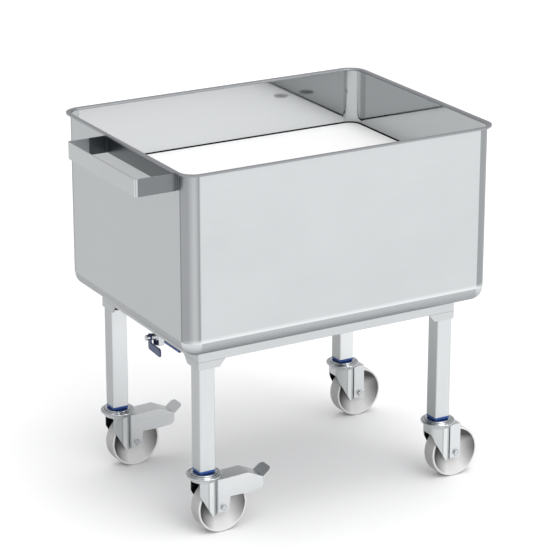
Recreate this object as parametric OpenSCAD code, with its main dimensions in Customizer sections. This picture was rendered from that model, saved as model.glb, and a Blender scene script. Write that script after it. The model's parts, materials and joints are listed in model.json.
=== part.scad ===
// Container trolley: a deep stainless tub on a welded leg frame with four
// swivel casters, a push handle at one end and a bottom drain valve.
// X runs from the handle end to the far end, Y across, Z up from the ground.
// Every size is in millimetres.

/* [Tub] */
// Outer length of the tub
tub_l = 788; // [700:2:900]
// Outer width of the tub
tub_w = 598; // [540:2:680]
// Height of the tub from its underside to the top of the rim
tub_h = 423; // [340:1:480]
// Thickness of the tub's sheet
tub_t = 2; // [1.5:0.5:3]
// Outer radius of the tub's upright and bottom corners
tub_r = 34; // [28:1:44]
// How far the flat rim stands out past the wall
rim_out = 10; // [7:1:14]
// Height of the rim's folded edge
rim_t = 4; // [3:0.5:6]
// Inner radius of the bend from the wall into the rim
rim_bend = 2; // [1:0.5:4]

/* [False floor] */
// Depth of the false floor's top below the rim
floor_drop = 137; // [110:1:200]
// Thickness of the loose floor board
floor_t = 12; // [8:1:20]
// Gap between the board and the tub's wall
floor_gap = 3; // [2:0.5:4]
// Diameter of the finger holes in the board
finger_d = 38; // [30:1:44]
// Distance of a finger hole's centre from the tub's end wall
finger_in = 38; // [34:1:60]
// Width of the ledge's flanges
ledge_w = 20; // [14:1:24]
// Thickness of the ledge's sheet
ledge_t = 2; // [1.5:0.5:3]
// Distance of a ledge's end from the tub's end
ledge_in = 94; // [60:2:140]

/* [Handle] */
// Reach of the push handle from the tub's wall
handle_reach = 101; // [80:1:120]
// Width of the push handle, outside to outside
handle_w = 335; // [260:1:350]
// Sideways shift of the handle's middle from the tub's middle
handle_shift = -89.5; // [-95:0.5:0]
// Height of the handle's flat strip
handle_h = 40; // [30:1:50]
// Thickness of the handle's flat strip
handle_t = 3; // [2:0.5:5]
// Outer radius of the handle's bends at the hands
handle_r = 8; // [6:1:16]
// Outer radius of the handle's bends at the tub
handle_root_r = 4; // [4:0.5:8]

/* [Frame] */
// Distance of the legs from the tub's ends
frame_in_x = 58; // [40:1:80]
// Distance of the legs from the tub's long sides
frame_in_y = 61; // [40:1:80]
// Width of the square leg tube
leg_w = 40; // [35:1:45]
// Wall of the square leg tube
leg_t = 2; // [1.5:0.5:3]
// Outer corner radius of the leg tube
leg_r = 3; // [2:0.5:4]
// Height of the top rails
rail_h = 31; // [26:1:40]
// Thickness of the rails and the corner plates
rail_t = 3; // [2:0.5:4]
// Width of the long rail's seat flange
seat_w = 30; // [22:1:36]
// Height of the pads between the frame and the tub
pad_h = 3; // [2:0.5:6]
// Length of a pad
pad_l = 40; // [30:1:60]
// Depth of a corner plate below the rail
gusset_h = 18; // [12:1:26]
// Reach of a corner plate past the leg at its lower edge
gusset_low = 10.7; // [6:0.1:14]
// Reach of a corner plate past the leg at the rail
gusset_high = 26; // [18:1:40]

/* [Casters] */
// Height of a caster from the ground to the end of the leg
caster_h = 160; // [156:1:170]
// Diameter of the wheels
wheel_d = 125; // [115:1:125]
// Width of the wheel's tread
wheel_w = 38; // [32:1:38]
// Depth of the dish in the wheel's faces
dish_d = 10; // [5:1:12]
// Width of the rim ring beside the dish
dish_ring = 5; // [3:0.5:8]
// Distance of the axle behind the swivel axis
trail = 38; // [34:1:42]
// Height of the fork's crown above the axle
crown_up = 71; // [69:0.5:74]
// Thickness of the fork's sheet
fork_t = 2; // [1.5:0.5:2.5]
// Diameter of the swivel ring
ring_d = 82; // [76:1:86]
// Thickness of the fixed swivel ring
ring_h = 6.2; // [5:0.1:8]
// Diameter of the swivel's king pin
king_d = 12; // [10:1:14]
// Diameter of the axle bolt
axle_d = 8; // [7:0.5:10]
// Width across the flats of the axle bolt's head
head_af = 13; // [12:0.5:16]
// Height of the plastic leg plug's visible flange
plug_h = 8; // [6:1:10]
// Length of the plug inside the leg
plug_in = 25; // [18:1:40]

/* [Brake] */
// Thickness of the brake lever's sheet
lever_t = 2; // [1.5:0.5:2.5]
// Reach of the brake lever's side plates past the axle
lever_reach = 103; // [95:1:115]
// Length of the upturned foot tab
tab_l = 28; // [22:1:34]
// Radius of the foot tab's corners
tab_r = 13; // [8:1:18]
// Rise angle of the foot tab in degrees
tab_rise = 38; // [25:1:50]

/* [Drain valve] */
// Distance of the valve's axis from the end rail's inner face
valve_in = 23.6; // [20.6:0.2:40]
// Outer diameter of the drain pipe under the tub
drain_d = 28; // [24:1:30]
// Diameter of the valve's upper body
valve_d = 34; // [34:1:36]
// Width across the flats of the valve's hexagonal outlet
outlet_af = 26; // [24:1:30]
// Height of the valve body below the tub
valve_h = 73; // [70:1:80]
// Distance of the stem's axis below the tub
stem_down = 52; // [50:1:54]
// Diameter of the valve's ball
ball_d = 18.8; // [18:0.1:19.4]
// Bore through the ball and the seats
flow_d = 12; // [9:0.5:13]
// Diameter of the valve's stem
stem_d = 8; // [6:0.5:9]
// Length of the valve lever's blade
blade_l = 53; // [40:1:70]
// Height of the valve lever's blade
blade_h = 18; // [12:1:22]
// Thickness of the valve lever
blade_t = 4; // [3:0.5:5]

/* [Guard strip] */
// Length of the plastic guard strip under the end rail
strip_l = 73; // [50:1:90]
// Height of the guard strip below the rail
strip_h = 5.5; // [4:0.5:8]
// Distance of the strip's end from the frame's front side
strip_in = 87; // [80:0.5:95]

/* [Clearances] */
// Radial running clearance of pins and the axle in their bores
run_gap = 0.06; // [0.03:0.01:0.1]
// Face clearance between pieces that move past each other
face_gap = 0.3; // [0.2:0.05:0.5]
// Side clearance of the plug in the leg tube
plug_gap = 0.3; // [0.2:0.05:0.5]

/* [Hidden] */
$fn = 64;
eps = 0.01;

// Colours as seen
steel_light = "#d4d7d8";
steel_mid = "#b4b7ba";
steel_bright = "#e2e4e6";
nylon_white = "#ecebe6";
plastic_blue = "#1f3a80";
lever_blue = "#33466e";
seal_white = "#f4f2ea";
board_white = "#f6f6f4";

// Heights from the ground up
wheel_r = wheel_d / 2;
leg_z = caster_h;
plug_z = leg_z - plug_h;
crown_z = wheel_r + crown_up;
crown_under = crown_z - fork_t;
ring_top = plug_z;
hub_h = 3.5;
ring_z = ring_top - hub_h - ring_h;
cup_top = ring_z - face_gap;
leg_run = 247;
gusset_z = leg_z + leg_run;
rail_z = gusset_z + gusset_h;
rail_top = rail_z + rail_h;
tub_z = rail_top + pad_h;
rim_z = tub_z + tub_h;
rim_under = rim_z - tub_t - rim_bend;
floor_z = rim_z - floor_drop;

// The leg frame and the ledges keep their distances from the tub's sides
frame_l = tub_l - 2 * frame_in_x;
frame_w = tub_w - 2 * frame_in_y;
ledge_l = tub_l - 2 * ledge_in;

// Places along and across; the origin is under the middle of the whole outline
corner_x = frame_l / 2 - leg_w / 2;
corner_y = frame_w / 2 - leg_w / 2;
far_end = max(tub_l / 2 + rim_out, corner_x + trail + wheel_r);
handle_end = tub_l / 2 + handle_reach;
tub_x = (handle_end - far_end) / 2;

// Fork outline in plan, all from the wheel's width
wall_in = wheel_w / 2 + 0.7;
wall_out = wall_in + fork_t;
bead_out = wall_out + 6.3;
fork_back = trail + 12;
fork_front = -22;
crown_back = ring_d / 2 - 5;
curtain_front = -30;
curtain_r = 12;
bead_front = 0;
bead_back = 14;
wall_front = 21;
side_in = wall_out + face_gap;
side_out = side_in + lever_t;
fork_low = wheel_r - 13;

// Kink and lower end of the brake lever's top edge, from the axle
lever_kink = [64, 72.5];
lever_end = 54.5;

// Ledge and valve places
ledge_z = floor_z - floor_t - face_gap;
stem_z = tub_z - stem_down;
valve_low = tub_z - valve_h;
valve_px = tub_x - frame_l / 2 + valve_in;
strip_y = strip_in + strip_l / 2 - frame_w / 2;
neck_z = tub_z - 41;
slot_in = 2.6;
slot_gap = 0.2;
tang_t = 2.6;
tang_root = 0.7;

// Points on an arc, for outlines
function arc(c, r, a0, a1, n = 8) =
    [for (i = [0:n]) c + r * [cos(a0 + (a1 - a0) * i / n), sin(a0 + (a1 - a0) * i / n)]];

// The same outline mirrored across the X axis, in reverse order
function mirrored(p) = [for (i = [len(p) - 1:-1:0]) [p[i][0], -p[i][1]]];

// Rectangle with round corners, centred
module round_rect(l, w, r) {
    square([l - 2 * r, w], center = true);
    square([l, w - 2 * r], center = true);
    for (x = [-1, 1], y = [-1, 1])
        translate([x * (l / 2 - r), y * (w / 2 - r)])
            circle(r);
}

// Quarter of a ring between two radii, in the first quadrant
module quarter_ring(inner, outer) {
    intersection() {
        difference() {
            circle(outer, $fn = 96);
            circle(inner, $fn = 96);
        }
        square(outer + 1);
    }
}

// Bottom bend, wall and folded rim, drawn from the corner's centre outwards
module tub_section() {
    bend_z = tub_h - tub_t - rim_bend;
    translate([0, tub_r])
        mirror([0, 1])
            quarter_ring(tub_r - tub_t, tub_r);
    translate([tub_r - tub_t, tub_r])
        square([tub_t, bend_z - tub_r]);
    translate([tub_r + rim_bend, bend_z])
        mirror([1, 0])
            quarter_ring(rim_bend, rim_bend + tub_t);
    translate([tub_r + rim_bend, tub_h - tub_t])
        square([rim_out - rim_bend, tub_t]);
    translate([tub_r + rim_out - tub_t, tub_h - rim_t])
        square([tub_t, rim_t - tub_t]);
}

// One straight side of the tub
module tub_side(length) {
    rotate([90, 0, 90])
        translate([0, 0, -length / 2])
            linear_extrude(length)
                tub_section();
}

module tub() {
    flat_l = tub_l - 2 * tub_r;
    flat_w = tub_w - 2 * tub_r;
    color(steel_light)
        translate([tub_x, 0, tub_z])
            difference() {
                union() {
                    for (x = [0, 1], y = [0, 1])
                        mirror([x, 0, 0])
                            mirror([0, y, 0])
                                translate([flat_l / 2, flat_w / 2, 0])
                                    rotate_extrude(angle = 90, $fn = 96)
                                        tub_section();
                    for (s = [0, 180]) {
                        rotate(s)
                            translate([0, flat_w / 2, 0])
                                tub_side(flat_l);
                        rotate(s)
                            translate([flat_l / 2, 0, 0])
                                rotate(-90)
                                    tub_side(flat_w);
                    }
                    translate([-flat_l / 2, -flat_w / 2, 0])
                        cube([flat_l, flat_w, tub_t]);
                }
                translate([valve_px - tub_x, 0, -eps])
                    cylinder(d = drain_d, h = tub_t + 2 * eps);
            }
}

// Loose board with a finger hole near each end
module false_floor() {
    l = tub_l - 2 * (tub_t + floor_gap);
    w = tub_w - 2 * (tub_t + floor_gap);
    r = tub_r - tub_t - floor_gap;
    color(board_white)
        translate([tub_x, 0, floor_z - floor_t])
            difference() {
                linear_extrude(floor_t)
                    round_rect(l, w, r);
                for (s = [-1, 1])
                    translate([s * (tub_l / 2 - tub_t - finger_in), 0, -eps])
                        cylinder(d = finger_d, h = floor_t + 2 * eps);
            }
}

// Angle welded to a long wall, side 1 is the rear
module ledge(side) {
    color(steel_mid)
        translate([tub_x, side * (tub_w / 2 - tub_t), ledge_z])
            rotate(side > 0 ? 180 : 0)
                translate([-ledge_l / 2, 0, 0]) {
                    translate([0, 0, -ledge_t])
                        cube([ledge_l, ledge_w, ledge_t]);
                    translate([0, 0, -ledge_w])
                        cube([ledge_l, ledge_t, ledge_w - ledge_t]);
                }
}

// Rectangle whose corners at low x have radius a and at high x radius b, centred
module bent_rect(l, w, a, b) {
    translate([-l / 2 + a, -w / 2])
        square([l - a - b, w]);
    translate([-l / 2, -w / 2 + a])
        square([l / 2, w - 2 * a]);
    translate([0, -w / 2 + b])
        square([l / 2, w - 2 * b]);
    for (s = [-1, 1]) {
        translate([-l / 2 + a, s * (w / 2 - a)])
            circle(a);
        translate([l / 2 - b, s * (w / 2 - b)])
            circle(b);
    }
}

module handle() {
    color(steel_mid)
        translate([tub_x - tub_l / 2 - handle_reach / 2, handle_shift, rim_under - face_gap - handle_h])
            linear_extrude(handle_h)
                difference() {
                    bent_rect(handle_reach, handle_w, handle_r, handle_root_r);
                    bent_rect(
                        handle_reach - 2 * handle_t,
                        handle_w - 2 * handle_t,
                        handle_r - handle_t,
                        handle_root_r - handle_t
                    );
                }
}

// Folded long rail with its seat flange under the tub, side 1 is the rear
module long_rail(side) {
    color(steel_light)
        translate([tub_x, 0, rail_z])
            rotate(side > 0 ? 180 : 0)
                translate([-frame_l / 2 - rail_t, -frame_w / 2 - rail_t, 0]) {
                    cube([frame_l + 2 * rail_t, rail_t, rail_h]);
                    translate([rail_t, rail_t, rail_h - rail_t])
                        cube([frame_l, seat_w, rail_t]);
                }
}

// Flat end rail between the long rails, side 1 is the far end
module end_rail(side) {
    color(steel_mid)
        translate([tub_x + side * (frame_l / 2 + rail_t / 2), 0, rail_z + rail_h / 2])
            cube([rail_t, frame_w, rail_h], center = true);
}

// Corner of the frame: x and y are -1 or 1, and its children face inwards
module at_corner(x, y) {
    translate([tub_x + x * frame_l / 2, y * frame_w / 2, 0])
        mirror([x > 0 ? 1 : 0, 0, 0])
            mirror([0, y > 0 ? 1 : 0, 0])
                children();
}

// One tab of a corner plate, drawn in the XZ plane
module gusset_tab() {
    rotate([90, 0, 0])
        linear_extrude(rail_t)
            polygon([
                [0, 0],
                [leg_w + gusset_low, 0],
                [leg_w + gusset_high, gusset_h],
                [0, gusset_h]
            ]);
}

module gusset(x, y) {
    color(steel_light)
        at_corner(x, y)
            translate([0, 0, gusset_z]) {
                gusset_tab();
                mirror([1, -1, 0])
                    gusset_tab();
                translate([-rail_t, -rail_t, 0])
                    cube([rail_t, rail_t, gusset_h]);
            }
}

// Square tube whose two outer walls run on behind the corner plates
module leg(x, y) {
    top = rail_top - rail_t - face_gap - leg_z;
    color(steel_light)
        at_corner(x, y)
            translate([0, 0, leg_z])
                difference() {
                    translate([leg_w / 2, leg_w / 2, 0])
                        linear_extrude(top)
                            difference() {
                                round_rect(leg_w, leg_w, leg_r);
                                round_rect(leg_w - 2 * leg_t, leg_w - 2 * leg_t, leg_r - leg_t / 2);
                            }
                    translate([leg_t, leg_t, leg_run])
                        cube([leg_w, leg_w, top]);
                }
}

module tub_pads() {
    color("#8e9296")
        for (i = [-1:1], s = [-1, 1])
            translate([tub_x + i * (frame_l / 2 - 2 * leg_w), s * (frame_w / 2 - seat_w / 2 - 1), rail_top + pad_h / 2])
                cube([pad_l, seat_w - 4, pad_h], center = true);
}

// Children stand on the swivel axis of one caster
module at_caster(x, y) {
    translate([tub_x + x * corner_x, y * corner_y, 0])
        children();
}

// Plastic end plug of the leg with its chamfered flange
module plug(x, y) {
    inner = leg_w - 2 * leg_t - 2 * plug_gap;
    chamfer = 3;
    color(plastic_blue)
        at_caster(x, y)
            difference() {
                union() {
                    translate([0, 0, leg_z])
                        linear_extrude(plug_in)
                            round_rect(inner, inner, leg_r - leg_t / 2);
                    translate([0, 0, plug_z + chamfer])
                        linear_extrude(plug_h - chamfer)
                            round_rect(leg_w, leg_w, leg_r);
                    intersection() {
                        translate([0, 0, plug_z])
                            linear_extrude(chamfer)
                                round_rect(leg_w, leg_w, leg_r);
                        plug_wedge(0, chamfer);
                        plug_wedge(90, chamfer);
                    }
                }
                translate([0, 0, plug_z - eps])
                    cylinder(d = king_d + 2 * run_gap, h = plug_h + plug_in + 2 * eps);
            }
}

// Band under the plug's flange with both of its long sides sloped
module plug_wedge(angle, chamfer) {
    half = leg_w / 2;
    rotate(angle)
        translate([0, half, plug_z])
            rotate([90, 0, 0])
                linear_extrude(leg_w)
                    polygon([
                        [-half, chamfer],
                        [-half + chamfer, 0],
                        [half - chamfer, 0],
                        [half, chamfer]
                    ]);
}

// Fixed upper half of the swivel with its king pin and rivet head
module race(x, y) {
    edge = ring_h / 2;
    color(steel_bright)
        at_caster(x, y)
            rotate_extrude() {
                difference() {
                    union() {
                        translate([0, ring_z])
                            square([ring_d / 2 - edge, ring_h]);
                        translate([ring_d / 2 - edge, ring_z + edge])
                            circle(edge, $fn = 32);
                        translate([0, ring_z + ring_h])
                            square([ring_d / 2 - 10, hub_h]);
                    }
                    translate([0, ring_z - eps])
                        square([ring_d / 2 - 12, ring_h / 2]);
                }
                translate([0, crown_under - face_gap])
                    square([king_d / 2, plug_z + plug_h + plug_in / 2 - crown_under]);
                translate([0, crown_under - face_gap - 3])
                    square([king_d / 2 + 3, 3]);
            }
}

// Near half of the fork's outline in plan, inset by t from its outer face
function fork_half(t) = concat(
    [
        [fork_back + t, -(wall_out - t)],
        [wall_front - t / 3, -(wall_out - t)],
        [bead_back - t / 3, -(bead_out - t)],
        [bead_front + t / 4, -(bead_out - t)]
    ],
    arc([curtain_front + curtain_r, -(bead_out - 3.7 - curtain_r)], curtain_r - t, 258, 180)
);

module fork_plan(t) {
    polygon(concat(fork_half(t), mirrored(fork_half(t))));
}

// Side outline of the pressed fork; the braked one is cut straight at the front
module fork_side(braked) {
    front = braked ? fork_front : curtain_front - 1;
    slope = braked
        ? [[fork_front, crown_z - 32]]
        : [[curtain_front - 1, crown_z - 15], [curtain_front + 2, crown_z - 15.5], [fork_front, crown_z - 33]];
    back = braked
        ? [[crown_back, crown_z], [crown_back, crown_z - 8], [fork_back, crown_z - 8]]
        : [[fork_back, crown_z]];
    polygon(concat(
        [[front, cup_top], [wall_front, cup_top], [wall_front + 1, crown_z]],
        back,
        [[fork_back, fork_low], [bead_back, fork_low - 0.5]],
        arc([bead_front + 8.5, fork_low + 2.5], 3, 270, 210, 4),
        [for (i = [len(slope) - 1:-1:0]) slope[i]]
    ));
}

module fork(x, y, braked) {
    color(steel_light)
        at_caster(x, y)
            difference() {
                union() {
                    intersection() {
                        rotate([90, 0, 0])
                            translate([0, 0, -bead_out - 1])
                                linear_extrude(2 * bead_out + 2)
                                    fork_side(braked);
                        difference() {
                            linear_extrude(cup_top)
                                fork_plan(0);
                            translate([0, 0, -1])
                                linear_extrude(crown_under + 1)
                                    fork_plan(fork_t);
                            translate([0, 0, crown_z])
                                linear_extrude(cup_top)
                                    fork_plan(fork_t);
                        }
                    }
                    translate([0, 0, crown_z])
                        cylinder(r1 = crown_back - 4, r2 = crown_back, h = cup_top - crown_z);
                }
                translate([0, 0, crown_under - 1])
                    cylinder(d = king_d + 2 * run_gap, h = cup_top - crown_under + 2);
                translate([trail, 0, wheel_r])
                    rotate([90, 0, 0])
                        cylinder(d = axle_d, h = 2 * wall_out + 2, center = true);
                for (s = [-1, 1])
                    translate([wall_front - 3, s * (wall_out + 1), wheel_r + 7])
                        cube([1.6, 6, 10], center = true);
            }
}

// Half profile of the wheel, from the bore to the tread
module wheel_section() {
    half = wheel_w / 2;
    ring_in = wheel_r - dish_ring;
    dish = half - dish_d;
    bore = axle_d / 2 + 4;
    difference() {
        union() {
            translate([bore, -half])
                square([wheel_r - bore - 3, 2 * half]);
            translate([bore, -half + 3])
                square([wheel_r - bore, 2 * half - 6]);
            for (s = [-1, 1])
                translate([wheel_r - 3, s * (half - 3)])
                    circle(3, $fn = 32);
        }
        for (s = [0, 1])
            mirror([0, s])
                polygon(concat(
                    [[bore + 9, half + 1], [bore + 10, dish + 3]],
                    arc([bore + 13, dish + 3], 3, 180, 270, 4),
                    arc([ring_in - 10, dish + 7], 7, 270, 340, 6),
                    [[ring_in, half + 1]]
                ));
    }
}

module wheel(x, y) {
    color(nylon_white)
        at_caster(x, y)
            translate([trail, 0, wheel_r])
                rotate([90, 0, 0])
                    rotate_extrude($fn = 128)
                        wheel_section();
}

// Bearing sleeve pressed in the wheel's hub
module bush(x, y) {
    color(steel_mid)
        at_caster(x, y)
            translate([trail, 0, wheel_r])
                rotate([90, 0, 0])
                    difference() {
                        cylinder(d = axle_d + 8, h = 2 * (wall_in - face_gap), center = true);
                        cylinder(d = axle_d + 2 * run_gap, h = 2 * wall_in + 1, center = true);
                    }
}

// Axle bolt with a hexagon head on one side and a nut on the other
module axle(x, y) {
    head_r = head_af / 2 / cos(30);
    head_h = 5;
    color(steel_bright)
        at_caster(x, y)
            translate([trail, 0, wheel_r])
                rotate([90, 0, 0]) {
                    cylinder(d = axle_d, h = 2 * side_out + 0.5, center = true);
                    for (s = [0, 1])
                        mirror([0, 0, s])
                            translate([0, 0, side_out + 0.1])
                                intersection() {
                                    cylinder(r = head_r, h = head_h, $fn = 6);
                                    cylinder(r1 = head_r + 3, r2 = head_af / 2 - 0.3, h = head_h);
                                }
                }
}

// Inverted U bracket over the plain fork, held by the axle bolt
module saddle(x, y) {
    top = crown_z + lever_t;
    low = fork_low;
    color(steel_light)
        at_caster(x, y)
            difference() {
                translate([wall_front, -side_out, low])
                    cube([fork_back - wall_front, 2 * side_out, top - low]);
                translate([wall_front - 1, -side_in, low - 1])
                    cube([fork_back - wall_front + 2, 2 * side_in, crown_z - low + 1 + eps]);
                translate([0, 0, crown_z - eps])
                    cylinder(r = crown_back - 2, h = 10);
                translate([trail, 0, wheel_r])
                    rotate([90, 0, 0])
                        cylinder(d = axle_d, h = 2 * side_out + 2, center = true);
            }
}

// Side outline of the brake lever about the axle
function lever_outline() = concat(
    [
        [-14.5, -12.6],
        [13, -8],
        [18, 24],
        [58, 23],
        [88, 25]
    ],
    arc([lever_reach - 11, 37], 11, -62, 0, 5),
    [
        [lever_reach, lever_end],
        lever_kink,
        [-14.5, crown_up - 1]
    ]
);

// Height of the lever's top above the axle at x, left of its kink
function lever_top(x) = crown_up - 1 + (x + 14.5) * (lever_kink[1] - crown_up + 1) / (lever_kink[0] + 14.5);

module brake_lever(y) {
    fall = (lever_kink[1] - lever_end) / (lever_reach - lever_kink[0]);
    past = 20;
    color(steel_mid)
        at_caster(-1, y)
            translate([trail, 0, wheel_r])
                difference() {
                    union() {
                        rotate([90, 0, 0])
                            linear_extrude(2 * side_out, center = true)
                                polygon(lever_outline());
                        translate([lever_reach, 0, lever_end - 0.4])
                            rotate([0, -tab_rise, 0])
                                foot_tab();
                    }
                    rotate([90, 0, 0])
                        linear_extrude(2 * side_in, center = true)
                            polygon([
                                [-past, -past],
                                [-past, crown_up + past],
                                [crown_back + 1 - trail, crown_up + past],
                                [crown_back + 1 - trail, lever_top(crown_back + 1 - trail) - lever_t],
                                [lever_kink[0] - 0.4, lever_kink[1] - lever_t],
                                [lever_reach - 1.5, lever_end - lever_t - 0.6 + 1.5 * fall],
                                [lever_reach - 1.5, -past]
                            ]);
                    rotate([90, 0, 0])
                        cylinder(d = axle_d + 2 * run_gap, h = 2 * side_out + 2, center = true);
                }
}

// Foot tab with rounded corners, lying along X before it is tilted
module foot_tab() {
    r = tab_r;
    half = side_out - 0.4;
    root = -1;
    translate([0, 0, -lever_t])
        linear_extrude(lever_t) {
            translate([root, -half])
                square([tab_l - r - root, 2 * half]);
            translate([root, -half + r])
                square([tab_l - root, 2 * half - 2 * r]);
            for (s = [-1, 1])
                translate([tab_l - r, s * (half - r)])
                    circle(r);
        }
}

// Curved shoe on a post under the fork's crown, clear of the tread
module brake_shoe(y) {
    inner = wheel_r + 1.5;
    outer = inner + 3;
    color(steel_mid)
        at_caster(-1, y)
            translate([trail, 0, wheel_r]) {
                intersection() {
                    rotate([90, 0, 0])
                        difference() {
                            cylinder(r = outer, h = 24, center = true, $fn = 128);
                            cylinder(r = inner, h = 26, center = true, $fn = 128);
                        }
                    translate([-24, -13, 0])
                        cube([26, 26, crown_up]);
                }
                translate([-19, -8, inner - 1])
                    cube([14, 16, crown_up - fork_t - inner + 1]);
            }
}

module drain_pipe() {
    color(steel_mid)
        translate([valve_px, 0, neck_z + 18])
            difference() {
                cylinder(d = drain_d, h = tub_z + tub_t - neck_z - 18);
                translate([0, 0, -1])
                    cylinder(d = drain_d - 5, h = tub_h);
            }
}

// Turned body with a hexagonal outlet and a boss for the stem
module valve_body() {
    hex_r = outlet_af / 2 / cos(30);
    cavity = ball_d + 1.6;
    color(steel_mid)
        translate([valve_px, 0, 0])
            difference() {
                union() {
                    translate([0, 0, neck_z])
                        cylinder(d = valve_d, h = tub_z - 2 - neck_z);
                    intersection() {
                        translate([0, 0, valve_low])
                            cylinder(r = hex_r, h = neck_z - valve_low, $fn = 6);
                        translate([0, 0, valve_low])
                            cylinder(r1 = hex_r - 3, r2 = hex_r + 40, h = 43);
                    }
                    translate([0, 0, stem_z])
                        rotate([0, -90, 0])
                            cylinder(d = 2 * stem_d, h = 19);
                }
                translate([0, 0, stem_z - 12])
                    cylinder(d = cavity, h = neck_z + 18 - stem_z + 12);
                translate([0, 0, neck_z + 18])
                    cylinder(d = drain_d, h = 40);
                translate([0, 0, valve_low - 1])
                    cylinder(d = flow_d + 2, h = 40);
                translate([0, 0, stem_z])
                    rotate([0, -90, 0])
                        cylinder(d = stem_d + 2 * run_gap, h = 30);
            }
}

// Two sealing rings that hold the ball, the upper one long
module valve_seats() {
    cavity = ball_d + 1.6;
    color(seal_white)
        translate([valve_px, 0, stem_z])
            difference() {
                union() {
                    translate([0, 0, -12])
                        cylinder(d = cavity, h = 7);
                    translate([0, 0, 5])
                        cylinder(d = cavity, h = neck_z + 18 - stem_z - 5);
                }
                sphere(d = ball_d + 2 * face_gap);
                translate([0, 0, -20])
                    cylinder(d = flow_d, h = 60);
            }
}

module valve_gland() {
    color(steel_bright)
        translate([valve_px - 19, 0, stem_z])
            rotate([0, -90, 0])
                difference() {
                    cylinder(r = stem_d, h = 2.2, $fn = 6);
                    translate([0, 0, -1])
                        cylinder(d = stem_d + 2 * run_gap, h = 5);
                }
}

module valve_ball() {
    color(steel_bright)
        translate([valve_px, 0, stem_z])
            difference() {
                rotate([90, 0, 0])
                    rotate_extrude()
                        difference() {
                            circle(d = ball_d);
                            translate([-ball_d, -ball_d])
                                square([ball_d + flow_d / 2, 2 * ball_d]);
                        }
                translate([-ball_d / 2, 0, 0])
                    cube([2 * slot_in, ball_d, tang_t + 2 * slot_gap], center = true);
            }
}

// Stem with a tang in the ball and a round cap nut outside the lever
module valve_stem() {
    hub_x = 19 + 2.2 + face_gap;
    color(steel_bright)
        translate([valve_px, 0, stem_z]) {
            rotate([0, -90, 0]) {
                translate([0, 0, ball_d / 2 + 0.4])
                    cylinder(d = stem_d, h = hub_x + blade_t - ball_d / 2 - 0.4);
                translate([0, 0, hub_x + blade_t])
                    cylinder(d = 13, h = 8);
                translate([0, 0, hub_x + blade_t + 8])
                    cylinder(r1 = 6.5, r2 = 4.5, h = 2);
            }
            translate([-ball_d / 2 - tang_root, 1 - stem_d / 2, -tang_t / 2])
                cube([slot_in + tang_root - face_gap, stem_d - 2, tang_t]);
        }
}

// Cranked lever: ring round the stem, short neck, flat blade towards the front
module valve_lever() {
    hub_x = 19 + 2.2 + face_gap;
    color(lever_blue)
        translate([valve_px - hub_x, 0, stem_z])
            rotate([90, 0, -90])
                linear_extrude(blade_t)
                    difference() {
                        union() {
                            circle(d = 18);
                            polygon(lever_blade());
                        }
                        circle(d = stem_d);
                    }
}

// Outline of the neck and blade about the stem; the blade droops a little
function lever_blade() = concat(
    [[-5, -6], [-6, -12], [-6, -8 - blade_h], [-2, -12 - blade_h]],
    arc([blade_l - 6, -10 - blade_h], 5, 270, 360, 4),
    arc([blade_l - 8, -20], 7, 0, 80, 4),
    [[7, -12], [5, -6]]
);

module guard_strip() {
    color(plastic_blue)
        translate([tub_x - frame_l / 2 - rail_t - 1, strip_y, rail_z]) {
            translate([0, -strip_l / 2, -strip_h])
                cube([rail_t + 2, strip_l, strip_h]);
            translate([rail_t + 1, -strip_l / 2, 0])
                cube([1, strip_l, strip_h]);
        }
}

tub();
false_floor();
ledge(-1);  // ledge_front
ledge(1);  // ledge_rear
handle();
long_rail(-1);  // rail_front
long_rail(1);  // rail_rear
end_rail(-1);  // rail_handle
end_rail(1);  // rail_far
tub_pads();
gusset(-1, -1);  // gusset_handle_front
gusset(-1, 1);  // gusset_handle_rear
gusset(1, -1);  // gusset_far_front
gusset(1, 1);  // gusset_far_rear
leg(-1, -1);  // leg_handle_front
leg(-1, 1);  // leg_handle_rear
leg(1, -1);  // leg_far_front
leg(1, 1);  // leg_far_rear
plug(-1, -1);  // plug_handle_front
plug(-1, 1);  // plug_handle_rear
plug(1, -1);  // plug_far_front
plug(1, 1);  // plug_far_rear
race(-1, -1);  // race_handle_front
race(-1, 1);  // race_handle_rear
race(1, -1);  // race_far_front
race(1, 1);  // race_far_rear
fork(-1, -1, true);  // fork_handle_front
fork(-1, 1, true);  // fork_handle_rear
fork(1, -1, false);  // fork_far_front
fork(1, 1, false);  // fork_far_rear
wheel(-1, -1);  // wheel_handle_front
wheel(-1, 1);  // wheel_handle_rear
wheel(1, -1);  // wheel_far_front
wheel(1, 1);  // wheel_far_rear
bush(-1, -1);  // bush_handle_front
bush(-1, 1);  // bush_handle_rear
bush(1, -1);  // bush_far_front
bush(1, 1);  // bush_far_rear
axle(-1, -1);  // axle_handle_front
axle(-1, 1);  // axle_handle_rear
axle(1, -1);  // axle_far_front
axle(1, 1);  // axle_far_rear
saddle(1, -1);  // saddle_far_front
saddle(1, 1);  // saddle_far_rear
brake_lever(-1);  // brake_lever_front
brake_lever(1);  // brake_lever_rear
brake_shoe(-1);  // brake_shoe_front
brake_shoe(1);  // brake_shoe_rear
drain_pipe();
valve_body();
valve_seats();
valve_gland();
valve_ball();
valve_stem();
valve_lever();
guard_strip();
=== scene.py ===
"""Looks of the container trolley: a deep stainless tub on a welded leg frame,
four swivel casters, two of them with brake levers, a push handle, a loose false
floor and a drain valve. Metres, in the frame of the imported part: X runs from the
handle to the far end, and the front is the long side at negative Y."""

import json
import math

import bmesh
import bpy
from mathutils import Matrix, Vector

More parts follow.
